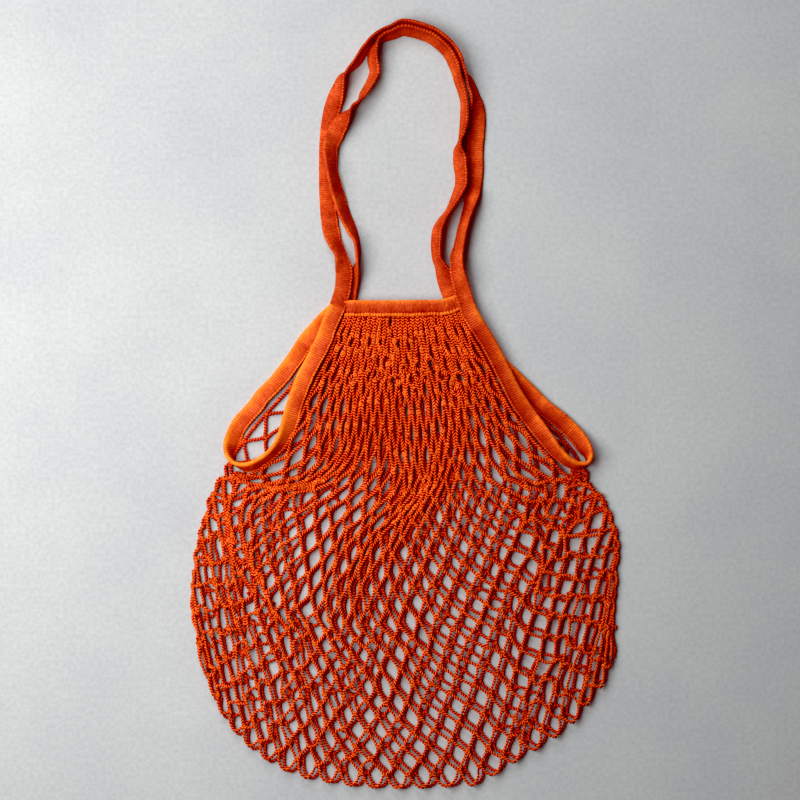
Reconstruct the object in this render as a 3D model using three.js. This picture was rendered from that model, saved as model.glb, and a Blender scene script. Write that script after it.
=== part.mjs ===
// Mesh shopping tote: an empty cotton net bag lying flat on its back.
// Millimetres, +Z up, floor at z = 0, mouth and handles towards +Y, origin under the middle of the bag.

import * as THREE from 'three';

// Driving dimensions
const TAPE_WIDTH = 15;
const TAPE_THICKNESS = 2.2;
const HEM_WIDTH = 14;
const YARN_WIDTH = 2.3;
const YARN_THICKNESS = 2.1;
const FRONT_LIFT = 7.4;
const DIAMONDS_PER_LAYER = 14;
const HALF_ROWS = 20;
const LEFT_SLIT_ROWS = 8;
const RIGHT_SLIT_ROWS = 10;
const RIBBON_STEP = 9;

// Derived dimensions
const BACK_LEVEL = 0.1 + YARN_THICKNESS / 2;
const FRONT_LEVEL = FRONT_LIFT + TAPE_THICKNESS / 2;
const FOLD_LEVEL = (BACK_LEVEL + FRONT_LEVEL) / 2;
const COLUMNS = 2 * DIAMONDS_PER_LAYER;
const LONGEST_CORNER = 7;
const BLUNT_CORNER = 0.8 * YARN_WIDTH;

// Tape routes: x, y of the tape's middle, roll in degrees and lift of its lowest edge.
// Roll 0 is flat with the fold edge on the outer side; 90 stands on the stitched edge.
const FRONT_HANDLE_ROUTE = [
  [-61.2, 85.2, 0, 7.4], [-57.2, 96.8, 0, 7.4], [-55.3, 104, 0, 8.6], [-54.6, 112, 0, 9.4],
  [-54.6, 120.1, 8, 9.4], [-55.7, 127.3, 35, 7], [-58, 136.3, 48, 3], [-62.3, 144.4, 40, 1],
  [-66, 155.2, 15, 0], [-68, 167.8, 0, 0], [-69.2, 184, 0, 0], [-69.7, 202, 0, 0],
  [-69.7, 220, 0, 0], [-69.2, 238, 0, 0], [-67.6, 254.2, 0, 0], [-64.8, 267.7, -5, 0],
  [-61.8, 277.6, -25, 0], [-58.9, 286.6, -48, 0], [-56.4, 294.3, -67, 0], [-52.2, 299.2, -88, 0],
  [-45.9, 304.6, -104, 0], [-35.9, 319, -108, 0], [-31.7, 325.9, -99, 0], [-25.8, 331.4, -100, 0],
  [-18.5, 335, -107, 0], [-11.7, 337.4, -115, 0], [-2, 341.9, -126, 0], [11.6, 339.6, -131, 0],
  [27.6, 333.5, -128, 0], [40.1, 323.7, -122, 0], [48.3, 313.1, -112, 0], [53.5, 300.5, -94, 0],
  [57.9, 293, -72, 0], [60.6, 285.8, -62, 0], [63.5, 277.7, -60, 0], [65.3, 269.6, -40, 0],
  [65.5, 259.7, -14, 0], [65, 247.1, 0, 0], [63.4, 229.1, 0, 0], [63.5, 211.1, 0, 0],
  [61.8, 195.8, 8, 0], [59.5, 182.3, 45, 0], [54.9, 167.9, 58, 0], [51.6, 155.3, 60, 0],
  [49.1, 142.7, 55, 1], [47, 132.8, 46, 2.5], [47.1, 123.8, 40, 6.8], [48.7, 113.9, 27, 8.8],
  [51.2, 105.8, 10, 8], [53.7, 96.8, 0, 7.4], [56.8, 87.2, 0, 7.4],
];
const BACK_HANDLE_ROUTE = [
  [-59.7, 86.7, 180, 0], [-51.8, 94, 176, 0], [-49.4, 104, 160, 0], [-47.2, 113.9, 150, 0],
  [-43.5, 124.7, 102, 0], [-41.9, 135.5, 80, 0], [-42.8, 145.4, 76, 0], [-47.7, 157.1, 57, 0],
  [-53.1, 168.8, 50, 0], [-56.7, 178.7, 47, 0.5], [-59.9, 189.5, 46, 1.5], [-63.4, 202, 50, 3],
  [-65, 209.3, 52, 4], [-66.3, 220, 45, 4.6], [-66.5, 231.8, 33, 4.2], [-62.6, 243.5, 0, 3],
  [-56.7, 253.4, -20, 3.8], [-51.3, 261.5, -65, 2], [-46.4, 267.3, -95, 0], [-41.4, 272.3, -88, 0],
  [-36.9, 279.5, -68, 0], [-32.4, 286.7, -64, 0], [-29, 293, -60, 0], [-26.7, 299.7, -56, 0],
  [-28.4, 309.2, -54, 0], [-28.2, 318.2, -60, 0], [-25.9, 324, -75, 0], [-22.4, 327.6, -95, 0],
  [-17.1, 330.6, -110, 0], [-9.9, 333, -120, 0], [-1.8, 336.4, -128, 0], [5.9, 335.6, -131, 0],
  [14.5, 333.4, -131, 0], [23.4, 329.9, -128, 0], [32, 323.6, -125, 0], [39.3, 315.9, -122, 0],
  [44.1, 306.5, -121, 0], [46.5, 299.3, -114, 0], [48.5, 291.6, -114, 0], [51.4, 282.8, -111, 0],
  [53.7, 272.3, -109, 0], [54, 262.4, -112, 0], [53.5, 252.9, -112, 0], [51.9, 244.4, -104, 0],
  [49.5, 235.4, -95, 0], [48.4, 229.5, -115, 0], [49.6, 222.8, -137, 0], [50.3, 214.7, -139, 0],
  [51.4, 206.6, -136, 0], [50.9, 198.5, -131, 0], [48.2, 190.8, -122, 0], [44.1, 182.3, -112, 0],
  [39.4, 174.2, -102, 0], [33.6, 165.6, -110, 0], [30.2, 158.4, -120, 0], [28.6, 148.1, -121, 0],
  [28.5, 139.1, -120, 0], [29.3, 131, -116, 0], [32.2, 125.1, -128, 0], [35.2, 118.4, -156, 0],
  [37.2, 111.2, -173, 0], [40.1, 102.2, -178, 0], [44.6, 93.2, -180, 0], [52.8, 83.3, -180, 0],
];
const LEFT_BINDING_ROUTE = [
  [-61.9, 84, 0, 7.4], [-66.5, 74, 0, 7.4], [-71.1, 61.4, 0, 7.4], [-75.8, 50.9, 0, 7.4],
  [-83.8, 35.6, 0, 7.4], [-90.6, 22.5, 0, 7.4], [-96.2, 7.2, 5, 7.4], [-101, -7.2, 10, 7.2],
  [-104.9, -21.2, 20, 6.5], [-109.8, -33.3, 38, 5.4], [-117.9, -43.7, 60, 4.8], [-129.2, -51.8, 78, 4.2],
  [-142.2, -56.3, 90, 2.4], [-152.1, -53.1, 105, 0.4], [-156.6, -45.5, 130, 0], [-156.3, -36.5, 155, 0],
  [-153, -26.6, 170, 0], [-147.6, -16.2, 178, 0], [-141.2, -9.5, 180, 0], [-133.1, 0.1, 180, 0],
  [-128.3, 6.8, 180, 0], [-117.6, 17.4, 180, 0], [-107.2, 30.2, 180, 0], [-95.9, 45.5, 180, 0],
  [-88.6, 57.2, 180, 0], [-79.4, 67.7, 180, 0], [-70.2, 77.8, 180, 0], [-60, 86.4, 180, 0],
];
const RIGHT_BINDING_ROUTE = [
  [57.5, 85.4, 0, 7.4], [61.7, 77, 0, 7.4], [68.9, 65.3, 0, 7.4], [76.5, 53.1, 0, 7.4],
  [83.7, 39.2, 0, 7.4], [90.9, 24.8, 0, 7.4], [98.6, 9.5, 0, 7.4], [107.6, -4.5, 5, 7.3],
  [117.5, -18, 12, 7], [127.4, -31.1, 28, 6.2], [137.3, -43.2, 50, 5.2], [146.7, -51.3, 68, 4.2],
  [157.1, -55.4, 88, 2], [164.3, -53.1, 105, 0.5], [165.4, -46.4, 128, 0], [161.6, -37.8, 150, 0],
  [156.2, -30, 165, 0], [149.9, -23, 175, 0], [141.8, -15.3, 180, 0], [124.7, -1.8, 180, 0],
  [112.1, 10.8, 180, 0], [99.5, 23, 180, 0], [86.9, 35.6, 180, 0], [75.2, 49.1, 180, 0],
  [64.8, 64.4, 180, 0], [57.2, 77, 180, 0], [53.8, 82, 180, 0],
];
const FRONT_HEM_ROUTE = [
  [-49.5, 86.6, 0, 7.4], [-26.6, 86.4, 0, 7.4], [0.5, 86.6, 0, 7.4], [23, 86.8, 0, 7.4],
  [33, 87.2, 0, 7.4], [42.5, 89.5, 0, 7.4],
];
const BACK_HEM_ROUTE = [
  [-41.5, 86.4, 0, 0], [-10, 86.4, 0, 0], [15, 86.4, 0, 0], [32, 86.4, 0, 0],
];

// Net edges from the mouth down to the bottom corners
const FRONT_LEFT_EDGE = [
  [-52.5, 76], [-59, 62], [-69, 38.5], [-82, 13],
  [-93.5, -14.5], [-103, -38.5], [-121.5, -59], [-147, -71.5],
];
const BACK_LEFT_EDGE = [
  [-52, 73.5], [-60, 68], [-78.5, 49], [-96.5, 22],
  [-118.5, -2], [-131, -18], [-135, -40], [-147, -71.5],
];
const LEFT_FOLD = [
  [-168, -86], [-179, -104], [-187, -131], [-192.6, -167],
  [-189, -201], [-180, -237], [-162.5, -282], [-151.5, -297],
];
const FRONT_RIGHT_EDGE = [
  [50.5, 76], [59, 61], [74, 32], [88.5, 4], [108, -24], [122, -43.5], [144, -68], [167, -80],
];
const BACK_RIGHT_EDGE = [
  [49, 74], [56.5, 58.5], [79.5, 29], [105, 3.5], [117.5, -9], [136, -26], [148, -58], [167, -80],
];
const RIGHT_FOLD = [
  [182, -98], [190.5, -117], [193.4, -138], [188, -174], [185, -221], [178, -251], [170, -263],
];
const MOUTH_MIDDLE = [-0.5, 76.5];
const BOTTOM_MIDDLE = [-0.5, -343.5];
const BOTTOM_FULLNESS = 2.5;

// Tape: a flat band of rectangular section that turns about its own middle line along a route

function bandSection(station, width, thickness) {
  const { middle, along, turn } = station;
  const side = new THREE.Vector3(-along.y, along.x, 0).multiplyScalar(station.outerSide);
  const across = side.multiplyScalar(Math.cos(turn));
  across.z = Math.sin(turn);
  const normal = new THREE.Vector3().crossVectors(along, across).multiplyScalar(station.outerSide);
  const corner = (a, b) => middle.clone()
    .addScaledVector(across, a * width / 2)
    .addScaledVector(normal, b * thickness / 2);
  const loop = [corner(1, 1), corner(-1, 1), corner(-1, -1), corner(1, -1)];
  return station.outerSide > 0 ? loop : loop.reverse();
}

function bandStations(route, width, thickness, outerSide) {
  const plan = new THREE.CatmullRomCurve3(route.map(([x, y]) => new THREE.Vector3(x, y, 0)));
  const pose = new THREE.CatmullRomCurve3(route.map(([, , roll, lift]) => new THREE.Vector3(roll, lift, 0)));
  const count = Math.ceil(plan.getLength() / RIBBON_STEP);
  const stations = [];
  for (let i = 0; i <= count; i += 1) {
    const t = plan.getUtoTmapping(i / count);
    const middle = plan.getPoint(t);
    const { x: roll, y: lift } = pose.getPoint(t);
    const turn = THREE.MathUtils.degToRad(roll);
    const height = width * Math.abs(Math.sin(turn)) + thickness * Math.abs(Math.cos(turn));
    middle.z = Math.max(lift, 0) + height / 2;
    stations.push({ middle, along: plan.getTangent(t), turn, outerSide });
  }
  return stations;
}

function loftGeometry(loops) {
  const sides = loops[0].length;
  const positions = loops.flat().flatMap((p) => [p.x, p.y, p.z]);
  const faces = [];
  for (let i = 0; i + 1 < loops.length; i += 1) {
    for (let k = 0; k < sides; k += 1) {
      const a = i * sides + k;
      const b = i * sides + (k + 1) % sides;
      faces.push(a, b, b + sides, a, b + sides, a + sides);
    }
  }
  const last = (loops.length - 1) * sides;
  for (let k = 1; k + 1 < sides; k += 1) {
    faces.push(0, k + 1, k);
    faces.push(last, last + k, last + k + 1);
  }
  return geometryFrom(positions, faces);
}

function geometryFrom(positions, faces) {
  const geometry = new THREE.BufferGeometry();
  geometry.setAttribute('position', new THREE.Float32BufferAttribute(positions, 3));
  geometry.setIndex(faces);
  geometry.computeVertexNormals();
  return geometry;
}

function tape(route, width, outerSide) {
  const stations = bandStations(route, width, TAPE_THICKNESS, outerSide);
  return loftGeometry(stations.map((station) => bandSection(station, width, TAPE_THICKNESS)));
}

// Net: knots on a tube of diamonds, joined by straight yarns, closed along the bottom

function edgeCurve(upper, lower) {
  const points = [...upper, ...lower].map(([x, y]) => new THREE.Vector3(x, y, 0));
  return new THREE.CatmullRomCurve3(points);
}

const layerEdges = {
  front: [edgeCurve(FRONT_LEFT_EDGE, LEFT_FOLD), edgeCurve(FRONT_RIGHT_EDGE, RIGHT_FOLD)],
  back: [edgeCurve(BACK_LEFT_EDGE, LEFT_FOLD), edgeCurve(BACK_RIGHT_EDGE, RIGHT_FOLD)],
};

function layerPoint(layer, across, down) {
  const [left, right] = layerEdges[layer].map((curve) => curve.getPointAt(down));
  const centre = new THREE.Vector3(
    THREE.MathUtils.lerp(MOUTH_MIDDLE[0], BOTTOM_MIDDLE[0], down),
    THREE.MathUtils.lerp(MOUTH_MIDDLE[1], BOTTOM_MIDDLE[1], down),
    0,
  );
  const chordMiddle = left.clone().lerp(right, 0.5);
  const bulge = 1 - Math.abs(2 * across - 1) ** BOTTOM_FULLNESS;
  return left.lerp(right, across).addScaledVector(centre.sub(chordMiddle), bulge);
}

// A knot's column runs round the tube: front from left to right, then back from right to left.
function knotAt(row, column) {
  const onFront = column <= DIAMONDS_PER_LAYER;
  const across = (onFront ? column : COLUMNS - column) / DIAMONDS_PER_LAYER;
  const atBottom = row === HALF_ROWS;
  const atFold = across === 0 || across === 1;
  const point = layerPoint(onFront ? 'front' : 'back', across, row / HALF_ROWS);
  const outward = new THREE.Vector3(0, 0, onFront ? 1 : -1);
  point.z = onFront ? FRONT_LEVEL : BACK_LEVEL;
  if (atFold) {
    outward.set(across === 0 ? -1 : 1, 0, 0);
  }
  if (atBottom && !atFold) {
    outward.set(0, -1, 0);
  }
  if (atFold || atBottom) {
    point.z = FOLD_LEVEL;
  }
  return { point, outward, legs: [], corners: [] };
}

function knotExists(row, column) {
  if (column === 0) {
    return row >= LEFT_SLIT_ROWS;
  }
  if (column === DIAMONDS_PER_LAYER) {
    return row >= RIGHT_SLIT_ROWS;
  }
  return true;
}

function knotKey(row, column) {
  let wrapped = (column + COLUMNS) % COLUMNS;
  if (row === HALF_ROWS && wrapped > DIAMONDS_PER_LAYER) {
    wrapped = COLUMNS - wrapped;
  }
  return `${row}:${wrapped}`;
}

function netKnots() {
  const knots = new Map();
  for (let row = 0; row <= HALF_ROWS; row += 1) {
    for (let k = 0; k < COLUMNS; k += 1) {
      const column = k + (row % 2) / 2;
      const key = knotKey(row, column);
      if (knotExists(row, column) && !knots.has(key)) {
        knots.set(key, knotAt(row, column));
      }
    }
  }
  for (let row = 0; row < HALF_ROWS; row += 1) {
    for (let k = 0; k < COLUMNS; k += 1) {
      const column = k + (row % 2) / 2;
      for (const step of [-0.5, 0.5]) {
        joinKnots(knots.get(knotKey(row, column)), knots.get(knotKey(row + 1, column + step)));
      }
    }
  }
  return [...knots.values()];
}

function joinKnots(a, b) {
  if (!a || !b) {
    return;
  }
  a.legs.push({ to: b });
  b.legs.push({ to: a });
}

// Puts a corner between each two neighbouring yarns of a knot, in the plane across its outward way
function placeCorners(knot) {
  const first = new THREE.Vector3(0, 0, 1).cross(knot.outward);
  if (first.lengthSq() < 0.5) {
    first.set(1, 0, 0);
  }
  const second = new THREE.Vector3().crossVectors(knot.outward, first);
  for (const leg of knot.legs) {
    const way = leg.to.point.clone().sub(knot.point);
    leg.angle = Math.atan2(way.dot(second), way.dot(first));
    leg.length = way.length();
  }
  knot.legs.sort((a, b) => a.angle - b.angle);
  knot.legs.forEach((leg, i) => {
    const next = knot.legs[(i + 1) % knot.legs.length];
    const gap = (next.angle - leg.angle + 2 * Math.PI) % (2 * Math.PI);
    const limit = gap > Math.PI ? BLUNT_CORNER : Math.min(LONGEST_CORNER, 0.4 * leg.length);
    const reach = Math.min(YARN_WIDTH / 2 / Math.sin(gap / 2), limit);
    const angle = leg.angle + gap / 2;
    knot.corners.push(knot.point.clone()
      .addScaledVector(first, reach * Math.cos(angle))
      .addScaledVector(second, reach * Math.sin(angle)));
  });
}

function netGeometry() {
  const knots = netKnots();
  const positions = [];
  const faces = [];
  let vertexCount = 0;
  for (const knot of knots) {
    placeCorners(knot);
    knot.outer = knot.corners.map((corner) => {
      for (const way of [0.5, -0.5]) {
        const p = corner.clone().addScaledVector(knot.outward, way * YARN_THICKNESS);
        positions.push(p.x, p.y, p.z);
      }
      vertexCount += 2;
      return vertexCount - 2;
    });
  }
  const quad = (a, b, c, d) => faces.push(a, b, c, a, c, d);
  for (const knot of knots) {
    const { outer } = knot;
    for (let k = 1; k + 1 < outer.length; k += 1) {
      faces.push(outer[0], outer[k], outer[k + 1]);
      faces.push(outer[0] + 1, outer[k + 1] + 1, outer[k] + 1);
    }
  }
  const sidesOf = (knot, other) => {
    const i = knot.legs.findIndex((leg) => leg.to === other);
    const count = knot.legs.length;
    return [knot.outer[(i + count - 1) % count], knot.outer[i]];
  };
  knots.forEach((knot, i) => {
    for (const { to } of knot.legs) {
      if (knots.indexOf(to) > i) {
        const [nearRight, nearLeft] = sidesOf(knot, to);
        const [farLeft, farRight] = sidesOf(to, knot);
        quad(nearRight, farRight, farLeft, nearLeft);
        quad(nearLeft + 1, farLeft + 1, farRight + 1, nearRight + 1);
        quad(farRight, nearRight, nearRight + 1, farRight + 1);
        quad(nearLeft, farLeft, farLeft + 1, nearLeft + 1);
      }
    }
  });
  return geometryFrom(positions, faces);
}

// Materials and named pieces

function cotton(color) {
  return new THREE.MeshStandardMaterial({ color, roughness: 0.9, metalness: 0, flatShading: true });
}

function piece(name, geometry, color) {
  const mesh = new THREE.Mesh(geometry, cotton(color));
  mesh.name = name;
  return mesh;
}

const NET_COLOR = 0xd9420f;
const TAPE_COLOR = 0xe0661a;
const LEFT_OUTER = 1;
const RIGHT_OUTER = -1;

const tote = new THREE.Group();
tote.name = 'mesh_shopping_tote';
tote.add(
  piece('net', netGeometry(), NET_COLOR),
  piece('hem_front', tape(FRONT_HEM_ROUTE, HEM_WIDTH, LEFT_OUTER), TAPE_COLOR),
  piece('hem_back', tape(BACK_HEM_ROUTE, HEM_WIDTH, LEFT_OUTER), TAPE_COLOR),
  piece('binding_left', tape(LEFT_BINDING_ROUTE, TAPE_WIDTH, RIGHT_OUTER), TAPE_COLOR),
  piece('binding_right', tape(RIGHT_BINDING_ROUTE, TAPE_WIDTH, LEFT_OUTER), TAPE_COLOR),
  piece('handle_front', tape(FRONT_HANDLE_ROUTE, TAPE_WIDTH, LEFT_OUTER), TAPE_COLOR),
  piece('handle_back', tape(BACK_HANDLE_ROUTE, TAPE_WIDTH, LEFT_OUTER), TAPE_COLOR),
);

export default tote;
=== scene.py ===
"""Mesh shopping tote: an empty cotton net bag lying flat, seen from straight above. Metres, +Z up."""

import math

import bpy
import numpy as np
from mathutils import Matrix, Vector


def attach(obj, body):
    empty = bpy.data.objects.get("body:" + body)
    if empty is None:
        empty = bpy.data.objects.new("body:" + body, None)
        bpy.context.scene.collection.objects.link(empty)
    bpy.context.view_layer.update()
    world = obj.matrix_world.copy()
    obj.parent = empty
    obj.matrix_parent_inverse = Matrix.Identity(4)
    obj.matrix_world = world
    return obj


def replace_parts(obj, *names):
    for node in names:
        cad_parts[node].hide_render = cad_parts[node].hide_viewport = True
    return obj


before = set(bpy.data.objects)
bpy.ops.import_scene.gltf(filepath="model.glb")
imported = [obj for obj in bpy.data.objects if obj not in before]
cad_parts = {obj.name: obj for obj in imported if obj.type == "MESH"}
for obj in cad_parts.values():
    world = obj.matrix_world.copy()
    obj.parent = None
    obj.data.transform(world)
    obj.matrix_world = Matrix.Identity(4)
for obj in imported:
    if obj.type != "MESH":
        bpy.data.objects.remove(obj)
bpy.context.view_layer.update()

MM = 0.001
UP = np.array([0, 0, 1.0])
TINY = 1e-12
CURVE_STEPS = 4000

# Tapes: folded lengthwise, ribbed across and stitched along one edge
TAPE_WIDTH = 15 * MM
HEM_WIDTH = 14.6 * MM
RIB_PITCH = 2.0 * MM
RIB_HEIGHT = 0.16 * MM
ROWS_PER_RIB = 3
STITCH_PITCH = 2.7 * MM
STITCH_HEIGHT = 0.3 * MM
STITCHED_EDGE = -0.45
FIBRE_HEIGHT = 0.03 * MM
WANDER = 0.25 * MM
WANDER_STEP = 6 * MM

# How much ribs and stitches change the tone of a tape as painted highlight on their crests and painted shade
# between them, and how much fibres and uneven dye change it at random
RIB_PAINTED_SHADING = 0.17
STITCH_PAINTED_SHADING = 0.36
FIBRE_TONE = 0.1
RIBBED_FIBRE_LOSS = 0.05
DYE_TONE = 0.05

# Yarn: two plies twisted together, fuller in the slack upper half-rows than in the low ones
PLY_RIDGE = 1.75 * MM
PLY_GROOVE = 1.0 * MM
TOP_FULLNESS = 1.15
LOW_FULLNESS = 0.97
THINNING_ROWS = (12, 24)
TWIST_PITCH = 5.2 * MM
LEG_LENGTH = 17.8 * MM
SEGMENTS_PER_LEG = 34

# Loops at the knots, and the scallops of the bottom as shares of a leg
KNOT_REACH = 1.7 * MM
KNOT_SIDE = 0.9 * MM
KNOT_SIDE_LIMIT = 0.5
KNOT_LIFT = 0.4 * MM
KNOT_NECK = 0.3
TIP_LIFT = 0.6
SCALLOP_SIDE = 0.35
SCALLOP_FULLNESS = 0.25

# Sideways bow of a leg that is longer than the way between its knots
BOW_SHARE = 0.42
TAUT_BOW = 0.45
SLACK_BOW = 0.5
SLACK_RANGE = (0.1, 0.4)
EDGE_BOW = 0.4
BOW_RISE = 0.25
LEAST_LEAN = 0.5
SHOULDER_PLACE = 0.3
SHOULDER_BOW = 0.8

# Net: knots of one layer, the bands it is split into and the spacing of its half-rows
COLUMNS = 24
HALF_ROWS = 28
SLIT_ROWS = 10
BANDS = ((0, 9), (9, 18), (18, HALF_ROWS))
HEM_LINE = 80.5 * MM
TOP_ROW_PITCH = 16.74 * MM
ROW_PITCH_LOSS = 0.0018 * MM
BOTTOM_ROW_LOSS = 0.3
LEFT_BUNCHING = 0.28
RIGHT_BUNCHING = 0.42
EDGE_PULL_END = 2.5

# Heights of the knots over the floor, and how far in from an edge they change
BACK_LEVEL = 1.6 * MM
FRONT_LEVEL = 5.4 * MM
TAPE_LEVEL = 7.6 * MM
FOLD_LEVEL = 2.8 * MM
HEIGHT_SPREAD = 0.4 * MM
SLIT_SLOPE = 0.2
FOLD_SLOPE = 0.06
HEM_SLOPE_ROWS = 4

# Where across the net its half-rows sag most, and how fast they rise from there to either edge
SAG_PLACE = 0.56
LEFT_SAG_POWER = 4
RIGHT_SAG_POWER = 1.7

# Zones of the net: shares of the way down from the hem, or in from an edge, where a change starts and ends
GATHER_ZONE = (0.12, 0.4)
RELEASE_ZONE = (0.34, 0.6)
FLAT_ZONE = (0.8, 0.98)
BUNCH_ZONE = (0.3, 0.42)
LEFT_BUNCH_END = (0.58, 0.76)
LEFT_BUNCH_WIDTH = (0.14, 0.28)
RIGHT_BUNCH_END = (0.5, 0.7)
RIGHT_BUNCH_WIDTH = (0.05, 0.2)
MATCH_ZONE = (0.45, 0.62)
BOTTOM_ZONE = (0.55, 1)
LAG_ZONE = (0.15, 0.45)
SLACK_START = (0.34, 0.4)
SLACK_END = (0.93, 0.97)
SLACK_EDGE = (0.01, 0.05)
LEFT_TANGLE_END = (0.75, 0.9)
LEFT_TANGLE_WIDTH = (0.18, 0.28)
RIGHT_TANGLE_END = (0.6, 0.75)
RIGHT_TANGLE_WIDTH = (0.15, 0.25)
LOW_TANGLE_START = (0.6, 0.75)

# How the columns crowd: a gather in the middle, a pleat from it down to the left, bunches beside the folds
SPREAD_STEPS = 400
GATHER_PLACE = 0.52
GATHER_REACH = 0.22
GATHER_DEPTH = 0.70
PLEAT_START = 0.38
PLEAT_DROP = 0.45
PLEAT_DRIFT = 0.2
PLEAT_REACH_LOSS = 0.15
PLEAT_DEPTH_LOSS = 0.16
BELLY_PLACE = 0.6
BELLY_REACH = 0.3
BELLY_WIDTH = 0.2
BELLY_BALANCE = 0.05
LEFT_BUNCH = 0.8
RIGHT_BUNCH = 0.66
NARROWEST = 0.16

# How the two layers lie on each other: columns apart at the top, and the share of that lost lower down
BACK_SHIFT = 0.5
LOW_MATCH = 0.5
SHIFT_EDGE = 0.1
# Tone of each layer's yarn: the back layer is darkened as painted shade, for the shadow the front layer casts
# on it
FRONT_PAINTED_SHADE = 1.0
BACK_PAINTED_SHADE = 0.8

# How unevenly the knots lie: smooth waves that both layers share, waves of their own, lags and tangles
STRAY = 3 * MM
OWN_STRAY = 2 * MM
STRAY_TOP_ROWS = 6
STRAY_LOW_ROWS = 3
WAVE_COUNT = 6
WAVE_LENGTH = 70 * MM
WAVE_SPREAD = (0.7, 1.6)
WAVE_DIVISOR = 2.4
WAVE_SEED = 12
JITTER = 0.7 * MM
TOP_LAG = 4.5 * MM
LOW_LAG = 1.1 * MM
LOOSE_POWER = 0.3
SLACK_JITTER = 5.5 * MM
LOW_TANGLE = 0.55
LEAST_TANGLE = 0.3
SETTLE_ROUNDS = 60
SHAKE_ROUNDS = 2
TOP_STRETCH = 0.3
STRETCH_ROWS = (5, 11)

# The photograph's scale: its pixels on the plane that the bag lies in
PIXEL = 0.9 * MM
MIDDLE_PIXEL = 404.5
PICTURE_PIXELS = 800
PICTURE_PLANE = 5 * MM
VIEW_ANGLE = math.radians(20.4)

# The camera's curve for green and blue: points of scene light and what they become
CAMERA_TOE = [
    (0.012, 0.0005), (0.027, 0.0015), (0.0425, 0.0075), (0.061, 0.024), (0.087, 0.05), (0.135, 0.104),
    (0.22, 0.205), (0.35, 0.35), (0.7, 0.7),
]
GREEN_AND_BLUE = (1, 2)

# Tape routes in millimetres and degrees: x, y of the tape's middle, roll and lift of its lowest edge.
# Roll 0 is flat with the fold edge on the outer side; 90 stands on the stitched edge.
FRONT_HANDLE_ROUTE = [
    (-61.2, 85.2, 0, 7.4), (-57.2, 96.8, 0, 7.4), (-55.3, 104, 0, 8.6), (-54.6, 112, 0, 9.4),
    (-54.6, 120.1, 8, 9.4), (-55.7, 127.3, 35, 7), (-58, 136.3, 48, 3), (-62.3, 144.4, 40, 1),
    (-66, 155.2, 15, 0), (-68, 167.8, 0, 0), (-69.2, 184, 0, 0), (-69.7, 202, 0, 0),
    (-69.7, 220, 0, 0), (-69.2, 238, 0, 0), (-67.6, 254.2, 0, 0), (-64.8, 267.7, -5, 0),
    (-61.8, 277.6, -25, 0), (-58.9, 286.6, -48, 0), (-56.4, 294.3, -67, 0), (-52.2, 299.2, -88, 0),
    (-45.9, 304.6, -104, 0), (-35.9, 319, -108, 0), (-31.7, 325.9, -99, 0), (-25.8, 331.4, -100, 0),
    (-18.5, 335, -107, 0), (-11.7, 337.4, -110, 0), (-2, 341.9, -114, 0), (11.6, 339.6, -118, 0),
    (27.6, 333.5, -118, 0), (40.1, 323.7, -116, 0), (48.3, 313.1, -110, 0), (53.5, 300.5, -94, 0),
    (57.9, 293, -72, 0), (60.6, 285.8, -62, 0), (63.5, 277.7, -60, 0), (65.3, 269.6, -40, 0),
    (65.5, 259.7, -14, 0), (65, 247.1, 0, 0), (63.4, 229.1, 0, 0), (63.5, 211.1, 0, 0),
    (61.8, 195.8, 8, 0), (59.5, 182.3, 45, 0), (54.9, 167.9, 58, 0), (51.6, 155.3, 60, 0),
    (49.1, 142.7, 55, 1), (47, 132.8, 46, 2.5), (47.1, 123.8, 40, 6.8), (48.7, 113.9, 27, 8.8),
    (51.2, 105.8, 10, 8), (53.7, 96.8, 0, 7.4), (56.8, 87.2, 0, 7.4),
]
BACK_HANDLE_ROUTE = [
    (-59.7, 86.7, 180, 0), (-51.8, 94, 176, 0), (-49.4, 104, 160, 0), (-47.2, 113.9, 150, 0),
    (-43.5, 124.7, 102, 0), (-41.9, 135.5, 80, 0), (-42.8, 145.4, 76, 0), (-47.7, 157.1, 57, 0),
    (-53.1, 168.8, 50, 0), (-56.7, 178.7, 47, 0.5), (-59.9, 189.5, 46, 1.5), (-63.4, 202, 50, 3),
    (-65, 209.3, 52, 4), (-66.3, 220, 45, 4.6), (-66.5, 231.8, 33, 4.2), (-62.6, 243.5, 0, 3),
    (-56.7, 253.4, -20, 3.8), (-51.3, 261.5, -65, 2), (-46.4, 267.3, -95, 0), (-41.4, 272.3, -88, 0),
    (-36.9, 279.5, -68, 0), (-32.4, 286.7, -64, 0), (-29, 293, -60, 0), (-26.7, 299.7, -56, 0),
    (-28.4, 309.2, -54, 0), (-28.2, 318.2, -60, 0), (-25.9, 324, -75, 0), (-22.4, 327.6, -95, 0),
    (-17.1, 330.6, -108, 0), (-9.9, 333, -114, 0), (-1.8, 336.4, -118, 0), (5.9, 335.6, -120, 0),
    (14.5, 333.4, -121, 0), (23.4, 329.9, -121, 0), (32, 323.6, -121, 0), (39.3, 315.9, -120, 0),
    (44.1, 306.5, -121, 0), (46.5, 299.3, -114, 0), (48.5, 291.6, -114, 0), (51.4, 282.8, -111, 0),
    (53.7, 272.3, -109, 0), (54, 262.4, -112, 0), (53.5, 252.9, -112, 0), (51.9, 244.4, -104, 0),
    (49.5, 235.4, -95, 0), (48.4, 229.5, -115, 0), (49.6, 222.8, -137, 0), (50.3, 214.7, -139, 0),
    (51.4, 206.6, -136, 0), (50.9, 198.5, -131, 0), (48.2, 190.8, -122, 0), (44.1, 182.3, -112, 0),
    (39.4, 174.2, -102, 0), (33.6, 165.6, -110, 0), (30.2, 158.4, -120, 0), (28.6, 148.1, -121, 0),
    (28.5, 139.1, -120, 0), (29.3, 131, -116, 0), (32.2, 125.1, -128, 0), (35.2, 118.4, -156, 0),
    (37.2, 111.2, -173, 0), (40.1, 102.2, -178, 0), (44.6, 93.2, -180, 0), (52.8, 83.3, -180, 0),
]
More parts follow.
